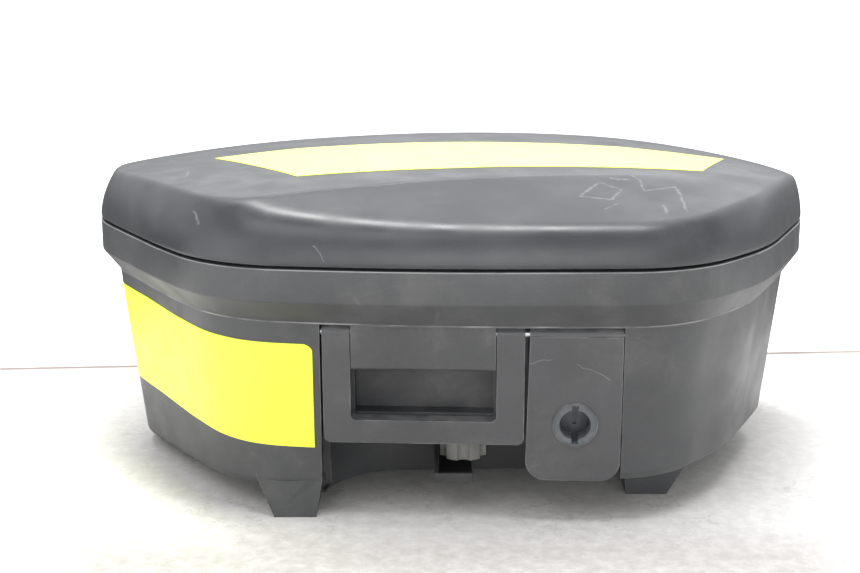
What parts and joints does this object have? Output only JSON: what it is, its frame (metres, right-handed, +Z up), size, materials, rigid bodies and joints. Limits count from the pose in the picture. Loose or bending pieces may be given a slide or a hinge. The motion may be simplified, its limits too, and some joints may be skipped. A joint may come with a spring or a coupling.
{
  "type": "motorcycle top case",
  "caption": "Hinged hard luggage case with folding carry handle, release flap with lock seat, lid latch and screw-driven rack hook.",
  "frame": {"origin": "on the floor under the middle of the case, between the feet", "axes": "+Z up, -Y the side with the carry handle and lock, +X to the right seen from that side"},
  "size_m": [0.5448, 0.3946, 0.2396],
  "materials": {
    "tub_plastic": "charcoal grained satin moulding, scuffed edges",
    "lid_plastic": "charcoal satin moulding with a slight sheen and fine scratches",
    "moulded_plastic": "fine grained black moulding",
    "handle_plastic": "satin charcoal moulding, rubbed on the edges",
    "seal_rubber": "soft matt black seal",
    "yellow_film": "fluorescent reflective yellow film",
    "knob_plastic": "worn light grey moulding",
    "black_steel": "gloss black coated steel",
    "brass": "plain turned bush",
    "lock_metal": "worn zinc plated pressing",
    "black_hinge": "black coated steel leaves",
    "zinc_steel": "bright zinc plated steel"
  },
  "bodies": {
    "case_base": {"base_shell": "tub_plastic", "handle_tray": "moulded_plastic", "tray_screws": "zinc_steel", "cover_plate": "moulded_plastic", "pivot_rod": "zinc_steel", "handle_spring": "zinc_steel", "flap_spring": "zinc_steel", "latch_housing": "moulded_plastic", "latch_spring": "zinc_steel", "latch_screws": "zinc_steel", "latch_cover": "moulded_plastic", "cover_screws": "zinc_steel", "hinge_base_leaves": "black_hinge", "stud_bush": "brass", "rack_tongues": "moulded_plastic", "tongue_screws": "zinc_steel", "side_sticker": "yellow_film", "hinge_base_screws": "zinc_steel"},
    "lid": {"lid_shell": "lid_plastic", "lid_seal": "seal_rubber", "lid_catch": "handle_plastic", "catch_screws": "zinc_steel", "hinge_lid_leaves": "black_hinge", "hinge_pins": "zinc_steel", "lid_sticker": "yellow_film", "hinge_lid_screws": "zinc_steel"},
    "handle": {"carry_handle": "handle_plastic"},
    "flap": {"release_flap": "handle_plastic", "lock_ring": "lock_metal"},
    "cam": {"lock_cam": "lock_metal"},
    "bolt": {"latch_bolt": "zinc_steel"},
    "knob": {"clamp_knob": "knob_plastic", "knob_stud": "zinc_steel"},
    "hook": {"rack_hook": "black_steel", "hook_nut": "zinc_steel"}
  },
  "joints": [
    {"name": "lid_hinge", "type": "hinge", "parent": "case_base", "child": "lid", "pos_m": [0, 0.1985, 0.187], "axis": [-1, 0, 0], "range_deg": [0, 85]},
    {"name": "handle_hinge", "type": "hinge", "parent": "case_base", "child": "handle", "pos_m": [0.00035, -0.16686, 0.13655], "axis": [-0.9987, 0.0515, 0], "range_deg": [0, 90], "deforming": ["handle_spring"]},
    {"name": "flap_hinge", "type": "hinge", "parent": "case_base", "child": "flap", "pos_m": [0.00035, -0.16686, 0.13655], "axis": [-0.9987, 0.0515, 0], "range_deg": [0, 75], "deforming": ["flap_spring"]},
    {"name": "lock_turn", "type": "hinge", "parent": "flap", "child": "cam", "pos_m": [0.08649, -0.16052, 0.07443], "axis": [0.0514, 0.9973, 0.0523], "range_deg": [0, 90]},
    {"name": "bolt_slide", "type": "slide", "parent": "case_base", "child": "bolt", "axis": [0.0514, 0.9973, 0.0523], "range_m": [0, 0.006], "deforming": ["latch_spring"]},
    {"name": "knob_turn", "type": "hinge", "parent": "case_base", "child": "knob", "pos_m": [0.0104, -0.126, 0.0425], "axis": [0, 0, 1], "range_deg": [0, 1800]},
    {"name": "hook_slide", "type": "slide", "parent": "case_base", "child": "hook", "axis": [0, 0, -1], "range_m": [0, 0.01]}
  ],
  "couplings": [
    {"joint": "bolt_slide", "follows": "flap_hinge", "m_per_rad": 0.0045836},
    {"joint": "knob_turn", "follows": "hook_slide", "rad_per_m": 3141.6}
  ]
}
